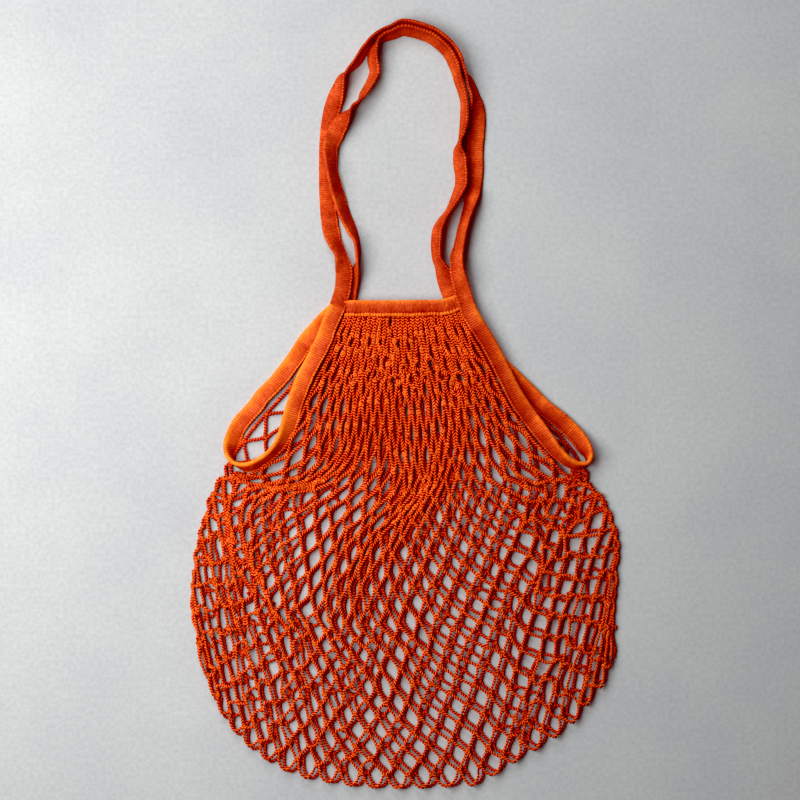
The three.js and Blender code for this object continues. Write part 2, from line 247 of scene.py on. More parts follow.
LEFT_BINDING_ROUTE = [
    (-60.3, 88.2, 0, 6.8),
    (-61.9, 84, 0, 7.4), (-66.5, 74, -6, 7), (-71.1, 61.4, -12, 6.4), (-75.8, 50.9, -14, 6),
    (-83.8, 35.6, -14, 6), (-90.6, 22.5, -12, 6.2), (-96.2, 7.2, -6, 6.6), (-101, -7.2, 4, 6.8),
    (-104.9, -21.2, 20, 6.5), (-109.8, -33.3, 36, 5.4), (-117.9, -43.7, 50, 4.8), (-129.2, -51.8, 55, 4.2),
    (-142.2, -56.3, 63, 2.4), (-152.1, -53.1, 86, 0.4), (-156.6, -45.5, 116, 0), (-156.3, -36.5, 148, 0),
    (-153, -26.6, 172, 0), (-147.6, -16.2, 184, 0), (-141.2, -9.5, 190, 0), (-133.1, 0.1, 194, 0),
    (-128.3, 6.8, 195, 0), (-117.6, 17.4, 195, 0), (-107.2, 30.2, 194, 0), (-95.9, 45.5, 190, 0),
    (-88.6, 57.2, 186, 0), (-79.4, 67.7, 182, 0), (-70.2, 77.8, 180, 0), (-60, 86.4, 180, 0),
]
RIGHT_BINDING_ROUTE = [
    (56.1, 88.8, 0, 7),
    (57.5, 85.4, 0, 7.4), (61.7, 77, 0, 7.4), (68.9, 65.3, -10, 6.8), (76.5, 53.1, -17, 6.2),
    (83.7, 39.2, -20, 5.8), (90.9, 24.8, -20, 5.8), (98.6, 9.5, -15, 6.2), (107.6, -4.5, -5, 6.8),
    (117.5, -18, 8, 7), (127.4, -31.1, 28, 6.2), (137.3, -43.2, 46, 5.2), (146.7, -51.3, 58, 4.2),
    (157.1, -55.4, 63, 2), (164.3, -53.1, 82, 0.5), (165.4, -46.4, 113, 0), (161.6, -37.8, 145, 0),
    (156.2, -30, 165, 0), (149.9, -23, 175, 0), (141.8, -15.3, 180, 0), (124.7, -1.8, 180, 0),
    (112.1, 10.8, 180, 0), (99.5, 23, 180, 0), (86.9, 35.6, 180, 0), (75.2, 49.1, 180, 0),
    (64.8, 64.4, 180, 0), (57.2, 77, 180, 0), (53.8, 82, 180, 0),
]
FRONT_HEM_ROUTE = [
    (-54, 86.6, 0, 6.4), (-49.5, 86.6, 0, 7), (-26.6, 86.4, 0, 7.4), (0.5, 86.6, 0, 7.4),
    (23, 86.8, 0, 7.4), (33, 87.2, 0, 7.4), (42.5, 89.5, 0, 6.8), (48.5, 92, 0, 6),
]
BACK_HEM_ROUTE = [(-41.5, 86.4, 0, 0), (-10, 86.4, 0, 0), (15, 86.4, 0, 0), (32, 86.4, 0, 0)]

# Net edges in millimetres: slits from the mouth down, folds from the slits down, and the closed bottom
FRONT_LEFT_SLIT = [
    (-52.5, 80), (-60.3, 62.5), (-69.8, 38.3), (-83.3, 13), (-95, -14.9), (-104.9, -34.7), (-119.3, -50.9),
    (-139, -63.5),
]
BACK_LEFT_SLIT = [
    (-52.5, 78), (-60.8, 68.9), (-79.7, 49.1), (-97.7, 22), (-119.3, -2.3), (-133.7, -17.6), (-144.5, -32),
    (-155.3, -46.4),
]
LEFT_FOLD = [
    (-163, -66), (-173, -80), (-177.5, -95), (-185.5, -128.3), (-191.7, -162.5), (-191.7, -176),
    (-188, -201.2), (-184, -225.5),
]
FRONT_RIGHT_SLIT = [
    (49.5, 81), (59.9, 60.8), (67.5, 48.2), (74.7, 34.7), (89.6, 4.1), (108.9, -24.3), (124.7, -42.8),
    (145.4, -64.4),
]
BACK_RIGHT_SLIT = [
    (49, 79), (56.7, 58.5), (67.5, 42.8), (79.7, 28.8), (105.3, 3.6), (118, -9.2), (135.5, -23), (156, -48),
]
RIGHT_FOLD = [
    (167, -72.5), (180, -90.5), (187.3, -105.8), (190.9, -122), (191.1, -138.2), (188, -174.2),
    (186.2, -216.5),
]
BOTTOM = [
    (-184, -225.5), (-175, -252.5), (-161, -281), (-147.5, -298), (-131, -312.5), (-102.5, -329),
    (-61.5, -338.7), (-14.9, -342.7), (32, -341.4), (67, -338.7), (91, -323.7), (122.5, -305.8),
    (153, -283), (166.5, -266), (178, -251), (184.4, -234.5), (186.2, -216.5),
]

# Upper half of a folded tape's section from the stitched edge to the fold: part of the width,
# height over the tape's middle in millimetres, share of ribs, share of stitches and tone.
# The tone is partly painted light: painted highlight on the stitched ridge, painted shade in the groove
# beside it, and lighter towards the fold as painted highlight and wear
TAPE_SECTION = [
    (-0.500, 0.35, 0.0, 1.0, 0.40), (-0.505, 0.80, 0.0, 1.0, 0.50), (-0.465, 1.15, 0.0, 1.0, 0.66),
    (-0.410, 1.10, 0.1, 0.8, 0.60), (-0.360, 0.80, 0.5, 0.1, 0.28), (-0.300, 0.80, 1.0, 0.0, 0.42),
    (-0.180, 0.88, 1.0, 0.0, 0.47), (-0.040, 0.96, 1.0, 0.0, 0.52), (0.060, 1.12, 1.0, 0.0, 0.57),
    (0.160, 1.40, 1.0, 0.0, 0.63), (0.260, 1.75, 0.9, 0.0, 0.71), (0.360, 1.95, 0.7, 0.0, 0.79),
    (0.450, 1.70, 0.5, 0.0, 0.86), (0.495, 0.90, 0.3, 0.0, 0.88),
]
# The hem's section: painted highlight on its stitched ridge and fold, painted shade in the groove between
# them
HEM_SECTION = [
    (-0.500, 0.30, 0.0, 0.4, 0.45), (-0.500, 0.85, 0.0, 0.6, 0.60), (-0.450, 1.40, 0.0, 0.8, 0.70),
    (-0.380, 1.55, 0.0, 1.0, 0.72), (-0.310, 1.25, 0.0, 1.0, 0.55), (-0.260, 0.70, 0.0, 0.6, 0.16),
    (-0.200, 0.60, 0.0, 0.0, 0.31), (-0.080, 0.75, 0.0, 0.0, 0.37), (0.060, 1.00, 0.0, 0.0, 0.44),
    (0.200, 1.30, 0.0, 0.0, 0.50), (0.310, 1.52, 0.0, 0.0, 0.60), (0.400, 1.56, 0.0, 0.0, 0.66),
    (0.460, 1.30, 0.0, 0.0, 0.76), (0.495, 0.65, 0.0, 0.0, 0.82),
]

# Handles are thinner, smoother and darker than the bindings, and the right binding's tone is darkened all
# along as painted shade
HANDLE_HEIGHT_LIMIT = 1.45
HANDLE_RIBS = 0.6
HANDLE_TONE = 0.76
HANDLE_TONE_LIMIT = 0.46
PAINTED_SHADE_TONE = 0.78
HANDLE_SECTION = [
    (
        part,
        min(height, HANDLE_HEIGHT_LIMIT),
        HANDLE_RIBS * rib,
        stitch,
        min(HANDLE_TONE * tone, HANDLE_TONE_LIMIT),
    )
    for part, height, rib, stitch, tone in TAPE_SECTION
]
# The right binding's section, its tone lowered as painted shade
PAINTED_SHADE_SECTION = [
    (part, height, rib, stitch, PAINTED_SHADE_TONE * tone) for part, height, rib, stitch, tone in TAPE_SECTION
]


# Curves and meshes

def even(count):
    """Evenly spaced fractions of a length, both ends included."""
    return np.linspace(0, 1, count)


def unit(vectors):
    """Vectors scaled to length one."""
    return vectors / np.maximum(np.linalg.norm(vectors, axis=-1, keepdims=True), TINY)


def smoothstep(low, high, values):
    """Zero below low, one above high and a smooth rise between them."""
    x = np.clip((values - low) / (high - low), 0, 1)
    return x * x * (3 - 2 * x)


def curve_at(points, chords, knots, slopes, where):
    """Points of a cubic curve through points that lie at the knots, a chord apart, with the given slopes."""
    i = np.clip(np.searchsorted(knots, where, side="right") - 1, 0, len(chords) - 1)
    h = chords[i][:, None]
    u = (where - knots[i])[:, None] / h
    start = (1 + 2 * u) * (1 - u) ** 2 * points[i] + u * (1 - u) ** 2 * h * slopes[i]
    end = u ** 2 * (3 - 2 * u) * points[i + 1] + u ** 2 * (u - 1) * h * slopes[i + 1]
    return start + end


def smooth_curve(points, fractions):
    """A smooth curve through points, sampled at fractions of its length in plan, and that length."""
    points = np.asarray(points, float)
    chords = np.linalg.norm(np.diff(points[:, :2], axis=0), axis=1)
    knots = np.concatenate([[0], np.cumsum(chords)])
    slopes = np.gradient(points, knots, axis=0)
    fine = np.linspace(0, knots[-1], CURVE_STEPS)
    steps = np.diff(curve_at(points, chords, knots, slopes, fine)[:, :2], axis=0)
    lengths = np.concatenate([[0], np.cumsum(np.linalg.norm(steps, axis=1))])
    where = np.interp(np.asarray(fractions) * lengths[-1], lengths, fine)
    return curve_at(points, chords, knots, slopes, where), lengths[-1]


def mesh_piece(name, points, quads, material, tone):
    """Makes a smooth mesh of quads with a tone for each point."""
    mesh = bpy.data.meshes.new(name)
    mesh.vertices.add(len(points))
    mesh.vertices.foreach_set("co", np.ascontiguousarray(points, np.float32).ravel())
    mesh.loops.add(quads.size)
    mesh.loops.foreach_set("vertex_index", np.ascontiguousarray(quads, np.int32).ravel())
    mesh.polygons.add(len(quads))
    mesh.polygons.foreach_set("loop_start", np.arange(0, quads.size, 4, dtype=np.int32))
    mesh.polygons.foreach_set("use_smooth", np.ones(len(quads), bool))
    layer = mesh.attributes.new("tone", "FLOAT", "POINT")
    layer.data.foreach_set("value", np.ascontiguousarray(tone, np.float32).ravel())
    mesh.update(calc_edges=True)
    mesh.validate()
    mesh.materials.append(material)
    piece = bpy.data.objects.new(name, mesh)
    bpy.context.scene.collection.objects.link(piece)
    return piece


def ring_quads(rings, sides):
    """Quads of a tube of rings, its two ends closed by strips across the end rings."""
    ring = np.arange(rings - 1)[:, None] * sides
    side = np.arange(sides)[None, :]
    following = (side + 1) % sides
    wall = np.stack([ring + side, ring + following, ring + sides + following, ring + sides + side], axis=-1)
    ends = []
    for first, way in ((0, -1), ((rings - 1) * sides, 1)):
        for k in range(sides // 2 - 1):
            corners = [first + k, first + k + 1, first + sides - 2 - k, first + sides - 1 - k]
            ends.append(corners[::way])
    return np.concatenate([wall.reshape(-1, 4), np.array(ends)])


# Materials

MIX_INPUTS = (0, 6, 7)
MIX_RESULT = 2
TONE_PLACES = (0.1, 0.5, 0.9)
DYE_BLOTCHES = [(0.3, (0.82, 0.76, 0.72)), (0.7, (1.12, 1.2, 1.2))]
FIBRE_ROUGHNESS = [(0.3, (0.78, 0.78, 0.78)), (0.7, (0.95, 0.95, 0.95))]
FIBRE_RELIEF = 0.5
SHEEN_TINT = (1.0, 0.25, 0.05, 1)
FLOOR_SPECKS = [(0.3, (0.425, 0.432, 0.437)), (0.7, (0.505, 0.512, 0.517))]
FLOOR_STAINS = [(0.35, (0.93, 0.93, 0.94)), (0.65, (1.04, 1.04, 1.03))]


def material(name):
    """A new material with its nodes, links and main shader."""
    made = bpy.data.materials.new(name)
    made.use_nodes = True
    nodes = made.node_tree.nodes
    return made, nodes, made.node_tree.links, nodes["Principled BSDF"]


def add_node(nodes, kind, **settings):
    """A new node, with each setting put on its input of that name or else on the node itself."""
    made = nodes.new(kind)
    for key, value in settings.items():
        if key in made.inputs:
            made.inputs[key].default_value = value
        else:
            setattr(made, key, value)
    return made


def colour_ramp(nodes, stops):
    """A ramp through stops, each a place and a colour."""
    made = nodes.new("ShaderNodeValToRGB")
    elements = made.color_ramp.elements
    while len(elements) < len(stops):
        elements.new(0.5)
    for element, (place, colour) in zip(elements, stops):
        element.position = place
        element.color = (*colour, 1)
    return made


def multiply_colours(nodes, links, first, second):
    """The product of two colour outputs."""
    mix = nodes.new("ShaderNodeMix")
    mix.data_type = "RGBA"
    mix.blend_type = "MULTIPLY"
    factor, first_input, second_input = (mix.inputs[i] for i in MIX_INPUTS)
    factor.default_value = 1.0
    links.new(first, first_input)
    links.new(second, second_input)
    return mix.outputs[MIX_RESULT]


def cotton(name, hollow, face, ridge, fibre_scale):
    """Dyed cotton: hollow to ridge colour from the mesh's tone, darker hollows as painted shade and lighter
    ridges as painted highlight, with blotches of dye and fine fibre bump.
    """
    made, nodes, links, shader = material(name)
    tone = add_node(nodes, "ShaderNodeAttribute", attribute_name="tone")
    ramp = colour_ramp(nodes, list(zip(TONE_PLACES, (hollow, face, ridge))))
    links.new(tone.outputs["Fac"], ramp.inputs["Fac"])
    place = nodes.new("ShaderNodeTexCoord")
    dye = add_node(nodes, "ShaderNodeTexNoise", Scale=70.0, Detail=4.0, Roughness=0.65)
    links.new(place.outputs["Object"], dye.inputs["Vector"])
    blotch = colour_ramp(nodes, DYE_BLOTCHES)
    links.new(dye.outputs["Fac"], blotch.inputs["Fac"])
    colour = multiply_colours(nodes, links, ramp.outputs["Color"], blotch.outputs["Color"])
    links.new(colour, shader.inputs["Base Color"])
    fibre = add_node(nodes, "ShaderNodeTexNoise", Scale=fibre_scale, Detail=3.0, Roughness=0.7)
    links.new(place.outputs["Object"], fibre.inputs["Vector"])
    bump = add_node(nodes, "ShaderNodeBump", Strength=FIBRE_RELIEF, Distance=0.3 * MM)
    links.new(fibre.outputs["Fac"], bump.inputs["Height"])
    links.new(bump.outputs["Normal"], shader.inputs["Normal"])
    rough = colour_ramp(nodes, FIBRE_ROUGHNESS)
    links.new(fibre.outputs["Fac"], rough.inputs["Fac"])
    links.new(rough.outputs["Color"], shader.inputs["Roughness"])
    shader.inputs["Specular IOR Level"].default_value = 0.05
    shader.inputs["Sheen Weight"].default_value = 0.03
    shader.inputs["Sheen Roughness"].default_value = 0.5
    shader.inputs["Sheen Tint"].default_value = SHEEN_TINT
    return made


def floor_material():
    """A pale matt surface with fine grain and faint stains."""
    made, nodes, links, shader = material("pale_surface")
    place = nodes.new("ShaderNodeTexCoord")
    grain = add_node(nodes, "ShaderNodeTexNoise", Scale=260.0, Detail=4.0, Roughness=0.65)
    cloud = add_node(nodes, "ShaderNodeTexNoise", Scale=6.0, Detail=5.0, Roughness=0.6)
    for texture in (grain, cloud):
        links.new(place.outputs["Object"], texture.inputs["Vector"])
    speck = colour_ramp(nodes, FLOOR_SPECKS)
    links.new(grain.outputs["Fac"], speck.inputs["Fac"])
    stain = colour_ramp(nodes, FLOOR_STAINS)
    links.new(cloud.outputs["Fac"], stain.inputs["Fac"])
    colour = multiply_colours(nodes, links, speck.outputs["Color"], stain.outputs["Color"])
    links.new(colour, shader.inputs["Base Color"])
    bump = add_node(nodes, "ShaderNodeBump", Strength=0.12, Distance=1 * MM)
    links.new(grain.outputs["Fac"], bump.inputs["Height"])
    links.new(bump.outputs["Normal"], shader.inputs["Normal"])
    shader.inputs["Roughness"].default_value = 0.85
    shader.inputs["Specular IOR Level"].default_value = 0.15
    return made


# Hollow and ridge colours of both cottons carry painted shade and painted highlight
TAPE_COTTON = cotton(
    "ribbed_tape", hollow=(0.22, 0.018, 0.010), face=(0.56, 0.080, 0.036), ridge=(1.0, 0.23, 0.045),
    fibre_scale=2600.0,
)
YARN_COTTON = cotton(
    "twisted_yarn", hollow=(0.25, 0.012, 0.010), face=(0.60, 0.056, 0.033), ridge=(1.0, 0.22, 0.055),
    fibre_scale=3000.0,
)


# Tapes

def whole_section(upper):
    """A closed section from its upper half, which the lower half mirrors."""
    lower = [(part, -height, rib, stitch, tone) for part, height, rib, stitch, tone in reversed(upper)]
    return np.array(upper + lower)


def tape_frame(route, outer_side):
    """Stations along a route, the directions across and out of the tape there, and the route's length."""
    stations = np.asarray(route, float)
    stations = np.column_stack([stations[:, :2] * MM, np.radians(stations[:, 2]), stations[:, 3] * MM])
    length = smooth_curve(stations, even(2))[1]
    rows = int(length / RIB_PITCH) * ROWS_PER_RIB
    path, _ = smooth_curve(stations, even(rows + 1))
    level = np.zeros(len(path))
    along = unit(np.gradient(np.column_stack([path[:, :2], level]), axis=0))
    side = np.column_stack([-along[:, 1], along[:, 0], level]) * outer_side
    roll = path[:, 2][:, None]
    across = np.cos(roll) * side + np.sin(roll) * UP
    normal = np.cross(along, across) * outer_side
    return path, across, normal, length


def tape_piece(name, route, width, upper, outer_side, seed):
    """A folded tape along a route, with ribs across it and a row of stitches along one edge."""
    path, across, normal, length = tape_frame(route, outer_side)
    run = np.linspace(0, length, len(path))
    section = whole_section(upper)
    part, height, rib_share, stitch_share, tone = section.T
    depth = part * width * across[:, 2][:, None] + height * MM * normal[:, 2][:, None]
    middle = np.column_stack([path[:, :2], np.maximum(path[:, 3], 0) - depth.min(axis=1)])

    dice = np.random.default_rng(seed)
    marks = np.arange(0, length + 2 * WANDER_STEP, WANDER_STEP)
    wander = np.interp(run, marks, dice.normal(0, WANDER, len(marks)))[:, None]
    dye = np.interp(run, marks, dice.normal(0, DYE_TONE, len(marks)))[:, None]
    fibre = dice.normal(0, 1, (len(run), len(section)))
    rib = np.cos(2 * math.pi * run / RIB_PITCH)[:, None] * rib_share
    lump = (0.5 + 0.5 * np.cos(2 * math.pi * run / STITCH_PITCH))[:, None]
    stitch = (lump - 0.5) * stitch_share

    raised = rib * RIB_HEIGHT + stitch * STITCH_HEIGHT + fibre * FIBRE_HEIGHT
    pulled_in = lump * stitch_share * (part < STITCHED_EDGE) * STITCH_HEIGHT
    aside = part * width + wander * (part < 0) - pulled_in
    above = height * MM + np.sign(height) * raised
    points = middle[:, None] + aside[..., None] * across[:, None] + above[..., None] * normal[:, None]
    points[..., 2] = np.maximum(points[..., 2], 0)
    fibre_tone = (FIBRE_TONE - RIBBED_FIBRE_LOSS * rib_share) * fibre
    # Painted highlight on rib and stitch crests and painted shade between them, with random fibre and dye
    # tone
    tone = tone + RIB_PAINTED_SHADING * rib + STITCH_PAINTED_SHADING * stitch + fibre_tone + dye
    quads = ring_quads(len(run), len(section))
    if outer_side < 0:
        quads = quads[:, ::-1]
    piece = mesh_piece(name, points.reshape(-1, 3), quads, TAPE_COTTON, np.clip(tone, 0, 1))
    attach(piece, "root")
    return piece


# The side of a route, looking along it, that the tape's fold edge lies on
LEFT_OUTER = 1
RIGHT_OUTER = -1
for node, route, width, upper, outer_side, seed in (
    ("handle_front", FRONT_HANDLE_ROUTE, TAPE_WIDTH, HANDLE_SECTION, LEFT_OUTER, 12),
    ("handle_back", BACK_HANDLE_ROUTE, TAPE_WIDTH, HANDLE_SECTION, LEFT_OUTER, 11),
    ("binding_left", LEFT_BINDING_ROUTE, TAPE_WIDTH, TAPE_SECTION, RIGHT_OUTER, 12),
    ("binding_right", RIGHT_BINDING_ROUTE, TAPE_WIDTH, PAINTED_SHADE_SECTION, LEFT_OUTER, 13),
    ("hem_front", FRONT_HEM_ROUTE, HEM_WIDTH, HEM_SECTION, LEFT_OUTER, 9),
    ("hem_back", BACK_HEM_ROUTE, HEM_WIDTH, HEM_SECTION, LEFT_OUTER, 8),
):
    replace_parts(tape_piece(f"{node}_tape", route, width, upper, outer_side, seed), node)


# Knots of the net

def row_drop(row):
    """How far below the hem a half-row's middle lies: rows are closer together towards the bottom loops."""
    row = min(row, HALF_ROWS - BOTTOM_ROW_LOSS)
    return TOP_ROW_PITCH * row - ROW_PITCH_LOSS * row ** 3


def edge_knots(slit, fold, bunching):
    """Places of every half-row on one edge: even along the slit, bunched along the upper fold."""
    slit = np.array(slit) * MM
    fold = np.concatenate([slit[-1:], np.array(fold) * MM])
    upper = smooth_curve(slit, even(SLIT_ROWS + 1))[0]
    share = even(HALF_ROWS - SLIT_ROWS + 1)
    lower = smooth_curve(fold, share - bunching * share * (1 - share))[0]
    return np.concatenate([upper, lower[1:]])


def column_spread(across, down):
    """Places of columns across the net: gathered in the middle, then along a pleat down to the left."""
    fine = even(SPREAD_STEPS)
    flat = smoothstep(*FLAT_ZONE, down)
    released = smoothstep(*RELEASE_ZONE, down)
    place = GATHER_PLACE - PLEAT_DRIFT * np.clip((down - PLEAT_START) / PLEAT_DROP, 0, 1)
    reach = GATHER_REACH - PLEAT_REACH_LOSS * released
    depth = (GATHER_DEPTH - PLEAT_DEPTH_LOSS * released) * smoothstep(*GATHER_ZONE, down) * (1 - flat)
    width = 1 - depth * np.exp(-((fine - place) / reach) ** 2)
    width += flat * (BELLY_WIDTH * np.exp(-((fine - BELLY_PLACE) / BELLY_REACH) ** 2) - BELLY_BALANCE)
    bunched = smoothstep(*BUNCH_ZONE, down)
    left_bunched = LEFT_BUNCH * bunched * (1 - smoothstep(*LEFT_BUNCH_END, down))
    right_bunched = RIGHT_BUNCH * bunched * (1 - smoothstep(*RIGHT_BUNCH_END, down))
    width -= left_bunched * (1 - smoothstep(*LEFT_BUNCH_WIDTH, fine))
    width -= right_bunched * (1 - smoothstep(*RIGHT_BUNCH_WIDTH, 1 - fine))
    width = np.maximum(width, NARROWEST)
    sums = np.concatenate([[0], np.cumsum(0.5 * (width[1:] + width[:-1]))])
    return np.interp(across, fine, sums / sums[-1])


def row_places(j, columns, column_shift):
    """Places across the net of a half-row's columns, from 0 at the left edge to 1 at the right edge."""
    down = j / HALF_ROWS
    # The outer knots of odd half-rows are drawn out to the edges
    from_edge = np.minimum(columns, COLUMNS - columns)
    pull = np.clip((EDGE_PULL_END - from_edge) / 2, 0, 1) * (j % 2) * 0.5
    across = (columns + pull * np.sign(columns - COLUMNS / 2)) / COLUMNS
    inner = smoothstep(0, SHIFT_EDGE, across) * (1 - smoothstep(1 - SHIFT_EDGE, 1, across))
    shift = column_shift * (1 - LOW_MATCH * smoothstep(*MATCH_ZONE, down))
    return column_spread(across + shift / COLUMNS * inner, down)


def sag_share(across):
    """How far the half-rows sag across the net, as a share of the sag at their lowest place."""
    left = np.clip((SAG_PLACE - across) / SAG_PLACE, 0, 1) ** LEFT_SAG_POWER
    right = np.clip((across - SAG_PLACE) / (1 - SAG_PLACE), 0, 1) ** RIGHT_SAG_POWER
    return 1 - left - right


def row_plan(j, across, left, right):
    """Knots of a half-row in the plane: a line between the edges that sags, lower down like the bottom."""
    bottom = np.array(BOTTOM) * MM
    lowest = smooth_curve(bottom, even(3))[0][1]
    sag_limit = lowest[1] - (left[-1, 1] + right[-1, 1]) / 2
    middle = HEM_LINE - row_drop(j)
    sag = (middle - (left[j, 1] + right[j, 1]) / 2) / sag_limit
    chord = (bottom[-1] - bottom[0]) * across[:, None]
    bottom_rise = smooth_curve(bottom, across)[0] - bottom[0] - chord
    middle_rise = np.column_stack([0 * across, sag_limit * sag_share(across)])
    share = smoothstep(*BOTTOM_ZONE, j / HALF_ROWS)
    rise = middle_rise * (1 - share) + bottom_rise * share
    return left[j] + (right[j] - left[j]) * across[:, None] + sag * rise


def row_heights(j, across, level, dice):
    """Heights of a half-row's knots, led to the tapes beside the slits and to a shared level at the folds."""
    heights = level + dice.normal(0, HEIGHT_SPREAD, len(across))
    edge = np.minimum(across, 1 - across)
    if j < SLIT_ROWS:
        top = TAPE_LEVEL if level > FOLD_LEVEL else BACK_LEVEL
        return top + (heights - top) * smoothstep(0, SLIT_SLOPE, edge) * min(j / HEM_SLOPE_ROWS, 1)
    return FOLD_LEVEL + (heights - FOLD_LEVEL) * smoothstep(0, FOLD_SLOPE, edge)


def slack_share(across, down):
    """How slack and tangled the meshes are: most beside the folds, just below the slits."""
    inside = smoothstep(*SLACK_EDGE, across) * smoothstep(*SLACK_EDGE, 1 - across)
    inside = inside * (1 - smoothstep(*SLACK_END, down)) * smoothstep(*SLACK_START, down)
    left = (1 - smoothstep(*LEFT_TANGLE_WIDTH, across)) * (1 - smoothstep(*LEFT_TANGLE_END, down))
    right = (1 - smoothstep(*RIGHT_TANGLE_WIDTH, 1 - across)) * (1 - smoothstep(*RIGHT_TANGLE_END, down))
    low_right = LOW_TANGLE * smoothstep(*LOW_TANGLE_START, across) * smoothstep(*LOW_TANGLE_START, down)
    return inside * np.maximum.reduce([left, right, low_right, np.full_like(across, LEAST_TANGLE)])


def soft_waves(points, seed, amplitude):
    """A smooth random shift of points in the plane."""
    dice = np.random.default_rng(seed)
    shift = np.zeros((len(points), 2))
    for _ in range(WAVE_COUNT):
        way = dice.uniform(0, 2 * math.pi)
        wave = 2 * math.pi / (WAVE_LENGTH * dice.uniform(*WAVE_SPREAD))
        phase = dice.uniform(0, 2 * math.pi)
        push = dice.normal(0, amplitude / WAVE_DIVISOR, 2)
        run = points[:, 0] * math.cos(way) + points[:, 1] * math.sin(way)
        shift += np.sin(wave * run + phase)[:, None] * push
    return shift


def leg_ends(j, k):
    """Indices of the upper and lower knot of leg k of yarn j."""
    if j % 2 == 0:
        return (k + 1) // 2, k // 2
    return k // 2, (k + 1) // 2


def free_share(row, columns):
    """One for knots that may move and zero for those on the hem, the bottom and the edges."""
    last = COLUMNS if row % 2 == 0 else COLUMNS - 1
    free = (columns > 0) & (columns < last) & (0 < row < HALF_ROWS)
    return free.astype(float)[:, None]


def settle(layer, rounds):
    """Pulls knots together in the plane where a leg is longer than its yarn; all edges stay."""
    for _ in range(rounds):
        for j in range(HALF_ROWS):
            reach = LEG_LENGTH * (1 + TOP_STRETCH * (1 - smoothstep(*STRETCH_ROWS, j)))
            for half in (0, 1):
                a, b = leg_ends(j, np.arange(half, 2 * COLUMNS, 2))
                gap = layer[j + 1][b, :2] - layer[j][a, :2]
                length = np.linalg.norm(gap, axis=1, keepdims=True)
                pull = gap * np.clip(1 - reach / np.maximum(length, TINY), 0, None)
                upper_free = free_share(j, a)
                lower_free = free_share(j + 1, b)
                total = np.maximum(upper_free + lower_free, 1)
                layer[j][a, :2] += pull * (upper_free / total)
                layer[j + 1][b, :2] -= pull * (lower_free / total)


def layer_knots(left_slit, right_slit, level, column_shift, seed):
    """Knot places of one layer: a list of arrays, one for each half-row, with columns half a step apart."""
    left = edge_knots(left_slit, LEFT_FOLD, LEFT_BUNCHING)
    right = edge_knots(right_slit, RIGHT_FOLD, RIGHT_BUNCHING)
    dice = np.random.default_rng(seed)
    lags = dice.normal(0, 1, 2 * COLUMNS + 1)
    layer, slacks = [], []
    for j in range(HALF_ROWS + 1):
        down = j / HALF_ROWS
        columns = np.arange(COLUMNS + 1) if j % 2 == 0 else np.arange(COLUMNS) + 0.5
        across = row_places(j, columns, column_shift)
        plan = row_plan(j, across, left, right)
        free = min(j / STRAY_TOP_ROWS, (HALF_ROWS - j) / STRAY_LOW_ROWS, 1)
        inside = (np.sin(math.pi * across) * free)[:, None]
        waves = soft_waves(plan, WAVE_SEED, STRAY) + soft_waves(plan, seed + 1, OWN_STRAY)
        plan = plan + inside * waves
        plan = plan + inside * JITTER * dice.normal(0, 1, plan.shape)
        lag = LOW_LAG + (TOP_LAG - LOW_LAG) * (1 - smoothstep(*LAG_ZONE, down))
        loose = np.sin(math.pi * across) ** LOOSE_POWER * min(j, HALF_ROWS - j, 1)
        plan[:, 1] += lag * loose * lags[(2 * columns).astype(int)]
        layer.append(np.column_stack([plan, row_heights(j, across, level, dice)]))
        slacks.append(slack_share(across, down)[:, None])
    settle(layer, SETTLE_ROUNDS)
    for knots, slack in zip(layer, slacks):
        knots[:, :2] += slack * SLACK_JITTER * dice.normal(0, 1, (len(knots), 2))
    settle(layer, SHAKE_ROUNDS)
    return layer


# Yarns of the net

def spread_evenly(row, count):
    """Points at even steps along a half-row of knots."""
    return np.column_stack([np.interp(even(count), even(len(row)), row[:, k]) for k in range(3)])


def up_directions(layer):
    """For each knot of each half-row the direction in the plane towards the half-row above it."""
    ups = []
    for j, knots in enumerate(layer):
        above = spread_evenly(layer[max(j - 1, 0)], len(knots))
        below = spread_evenly(layer[min(j + 1, HALF_ROWS)], len(knots))
        way = above - below
        way[:, 2] = 0
        ups.append(unit(way))
    return ups


def part_along(vectors, ways):
    """The part of each vector that runs along its way."""
    return ways * np.sum(vectors * ways, axis=1, keepdims=True)


def knot_side(chord, ups):
    """How far a leg swings out beside its knot."""
    flat = chord - part_along(chord, ups)
    limit = KNOT_SIDE_LIMIT * np.linalg.norm(flat, axis=1, keepdims=True)
    return unit(flat) * np.minimum(KNOT_SIDE, limit)


def leg_bend(chord, dice):
    """How far the middle of each leg bows out: slack legs most, the two at either edge less."""
    distance = np.linalg.norm(chord, axis=1, keepdims=True)
    way = chord / np.maximum(distance, TINY)
    shown = TAUT_BOW + SLACK_BOW * smoothstep(*SLACK_RANGE, 1 - distance / LEG_LENGTH)
    bow = shown * BOW_SHARE * np.sqrt(np.maximum(LEG_LENGTH ** 2 - distance ** 2, 0))
    bow[[0, 1, -2, -1]] *= EDGE_BOW
    level_side = unit(np.column_stack([-way[:, 1], way[:, 0], np.zeros(len(way))]))
    lean = dice.choice([-1, 1], (len(way), 1)) * dice.uniform(LEAST_LEAN, 1, (len(way), 1))
    return bow * (level_side * lean + BOW_RISE * UP * (1 - np.abs(lean)))


def curves_through(controls):
    """Smooth curves through all controls but the first and the last, which only steer the ends."""
    spans = len(controls) - 3
    steps = np.linspace(0, spans, SEGMENTS_PER_LEG + 1)
    i = np.minimum(steps.astype(int), spans - 1) + 1
    u = (steps - (i - 1))[:, None, None]
    before, start, end, after = controls[i - 1], controls[i], controls[i + 1], controls[i + 2]
    linear = (end - before) * u
    square = (2 * before - 5 * start + 4 * end - after) * u ** 2
    cube = (3 * start - before - 3 * end + after) * u ** 3
    return 0.5 * (2 * start + linear + square + cube)


